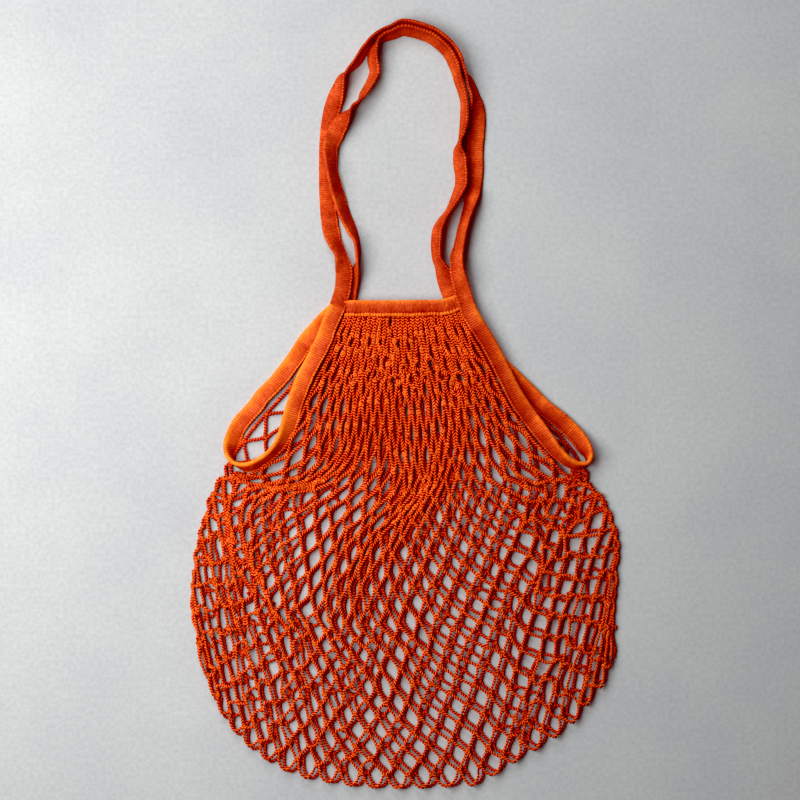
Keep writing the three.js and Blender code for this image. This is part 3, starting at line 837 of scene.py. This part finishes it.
def leg_curves(starts, ends, start_ups, end_ups, at_bottom, dice):
    """Curves of all legs of a yarn: from the loop over the upper knot to the loop under the lower one."""
    chord = ends - starts
    bend = leg_bend(chord, dice)
    start_side, end_side = knot_side(chord, start_ups), knot_side(chord, end_ups)
    lift = KNOT_LIFT * UP
    start_neck = starts + start_ups * KNOT_NECK * KNOT_REACH
    neck = KNOT_NECK * KNOT_REACH * end_ups
    tip = KNOT_REACH * end_ups + TIP_LIFT * lift
    if at_bottom:
        drop = part_along(chord, end_ups)
        bend = SCALLOP_FULLNESS * drop
        end_side = SCALLOP_SIDE * (chord - drop)
        neck, tip = SCALLOP_SIDE ** 2 * drop, 0 * drop
    return curves_through(np.stack([
        start_neck - start_side,
        starts + start_ups * KNOT_REACH + lift,
        start_neck + start_side,
        starts + chord * SHOULDER_PLACE + bend * SHOULDER_BOW,
        starts + chord * 0.5 + bend,
        starts + chord * (1 - SHOULDER_PLACE) + bend * SHOULDER_BOW,
        ends - neck - end_side,
        ends - tip,
        ends - neck + end_side,
    ]))


def joined_legs(curves, first_down):
    """One path along a zigzag of legs that run down and up in turn, kept off the floor."""
    parts = []
    for k in range(curves.shape[1]):
        down = (k % 2 == 0) == first_down
        parts.append(curves[:, k] if down else curves[::-1, k])
    path = np.concatenate([part[:-1] for part in parts] + [parts[-1][-1:]])
    path[:, 2] = np.maximum(path[:, 2], PLY_RIDGE * TOP_FULLNESS)
    return path


def yarn_paths(layer, seed):
    """Paths of all yarns of a layer: one zigzag for each pair of half-rows, looped round the knots."""
    dice = np.random.default_rng(seed)
    ups = up_directions(layer)
    yarns = []
    for j in range(HALF_ROWS):
        a, b = leg_ends(j, np.arange(2 * COLUMNS))
        at_bottom = j == HALF_ROWS - 1
        curves = leg_curves(layer[j][a], layer[j + 1][b], ups[j][a], ups[j + 1][b], at_bottom, dice)
        yarns.append(joined_legs(curves, first_down=j % 2 == 0))
    return yarns


def yarn_fullness(row):
    """Slack yarn is fuller than the yarn that is pulled open near the bottom."""
    return TOP_FULLNESS - (TOP_FULLNESS - LOW_FULLNESS) * smoothstep(*THINNING_ROWS, row)


def yarn_tube(path, phase, fullness):
    """A twisted yarn along a path; its twist turns back on every other leg, so two legs look knitted."""
    along = unit(np.gradient(path, axis=0))
    flat = unit(np.cross(along, UP))
    normal = np.cross(flat, along)
    steps = np.linalg.norm(np.diff(path, axis=0), axis=1)
    hand = 1 - 2 * (np.arange(len(steps)) // SEGMENTS_PER_LEG % 2)
    twist = phase - 2 * math.pi * np.concatenate([[0], np.cumsum(hand * steps)]) / TWIST_PITCH
    angle = np.array([0, 0.5, 1, 1.5]) * math.pi
    radius = fullness * np.array([PLY_RIDGE, PLY_GROOVE, PLY_RIDGE, PLY_GROOVE])
    turn = angle[None, :] + twist[:, None]
    offset = flat[:, None] * np.cos(turn)[..., None] + normal[:, None] * np.sin(turn)[..., None]
    points = path[:, None] + offset * radius[None, :, None]
    # Painted highlight on the ply ridges and painted shade in the grooves between them
    tone = np.broadcast_to([1.0, 0.0, 1.0, 0.0], turn.shape)
    return points.reshape(-1, 3), ring_quads(len(path), len(angle)), tone.reshape(-1)


def net_piece(name, yarns, rows, shade, seed):
    """One band of a layer: the yarns of its half-rows in one mesh, their tone scaled by the layer's painted
    shade.
    """
    dice = np.random.default_rng(seed)
    points, quads, tones = [], [], []
    start = 0
    for row in rows:
        phase = dice.uniform(0, 2 * math.pi)
        tube_points, tube_quads, tube_tone = yarn_tube(yarns[row], phase, yarn_fullness(row))
        points.append(tube_points)
        quads.append(tube_quads + start)
        # Painted shade: the back layer's tone is lowered by its factor
        tones.append(tube_tone * shade)
        start += len(tube_points)
    tone = np.concatenate(tones)
    piece = mesh_piece(name, np.concatenate(points), np.concatenate(quads), YARN_COTTON, tone)
    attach(piece, "root")
    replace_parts(piece, "net")


front_knots = layer_knots(FRONT_LEFT_SLIT, FRONT_RIGHT_SLIT, FRONT_LEVEL, column_shift=0, seed=11)
back_knots = layer_knots(BACK_LEFT_SLIT, BACK_RIGHT_SLIT, BACK_LEVEL, column_shift=BACK_SHIFT, seed=21)
front_yarns = yarn_paths(front_knots, seed=12)
back_yarns = yarn_paths(back_knots, seed=22)
for number, (first, last) in enumerate(BANDS, 1):
    net_piece(f"net_front_{number}", front_yarns, range(first, last), FRONT_PAINTED_SHADE, seed=30 + number)
    net_piece(f"net_back_{number}", back_yarns, range(first, last), BACK_PAINTED_SHADE, seed=40 + number)


# Floor, light and camera

FLOOR_HALF = 2.5
SKY_COLOUR = (0.92, 0.96, 1.0, 1)
SKY_STRENGTH = 0.10


def floor():
    """A wide pale surface under the bag."""
    half = FLOOR_HALF
    corners = [(-half, -half, 0), (half, -half, 0), (half, half, 0), (-half, half, 0)]
    mesh = bpy.data.meshes.new("floor")
    mesh.from_pydata(corners, [], [(0, 1, 2, 3)])
    mesh.materials.append(floor_material())
    made = bpy.data.objects.new("floor", mesh)
    bpy.context.scene.collection.objects.link(made)


def area_light(name, place, side, power, colour):
    """A square light that faces the middle of the bag."""
    data = bpy.data.lights.new(name, "AREA")
    data.shape = "RECTANGLE"
    data.size = side
    data.size_y = side
    data.energy = power
    data.color = colour
    light = bpy.data.objects.new(name, data)
    light.location = place
    light.rotation_euler = (-Vector(place)).to_track_quat("-Z", "Y").to_euler()
    bpy.context.scene.collection.objects.link(light)


def lights():
    """A window at the left, a panel beyond the handles and a dim sky."""
    area_light("window", place=(-0.58, 0.02, 0.78), side=0.8, power=12.6, colour=(1.0, 0.99, 0.98))
    area_light("north_panel", place=(-0.4, 1.2, 0.9), side=0.7, power=13.0, colour=(0.98, 0.99, 1.0))
    world = bpy.data.worlds.new("soft_room")
    world.use_nodes = True
    sky = world.node_tree.nodes["Background"]
    sky.inputs["Color"].default_value = SKY_COLOUR
    sky.inputs["Strength"].default_value = SKY_STRENGTH
    bpy.context.scene.world = world


def camera():
    """A camera straight above that sees the photograph's frame on the plane of the bag."""
    data = bpy.data.cameras.new("camera")
    data.sensor_fit = "HORIZONTAL"
    data.angle = VIEW_ANGLE
    made = bpy.data.objects.new("camera", data)
    middle = (PICTURE_PIXELS / 2 - MIDDLE_PIXEL) * PIXEL
    rise = PICTURE_PIXELS / 2 * PIXEL / math.tan(VIEW_ANGLE / 2)
    made.location = (middle, -middle, PICTURE_PLANE + rise)
    bpy.context.scene.collection.objects.link(made)
    bpy.context.scene.camera = made


def camera_curve():
    """Standard view with a deep toe in green and blue, as the picture's camera shows dark reds."""
    view = bpy.context.scene.view_settings
    view.view_transform = "Standard"
    view.use_curve_mapping = True
    mapping = view.curve_mapping
    for channel in GREEN_AND_BLUE:
        for place, height in CAMERA_TOE:
            mapping.curves[channel].points.new(place, height)
    mapping.update()


floor()
lights()
camera()
camera_curve()
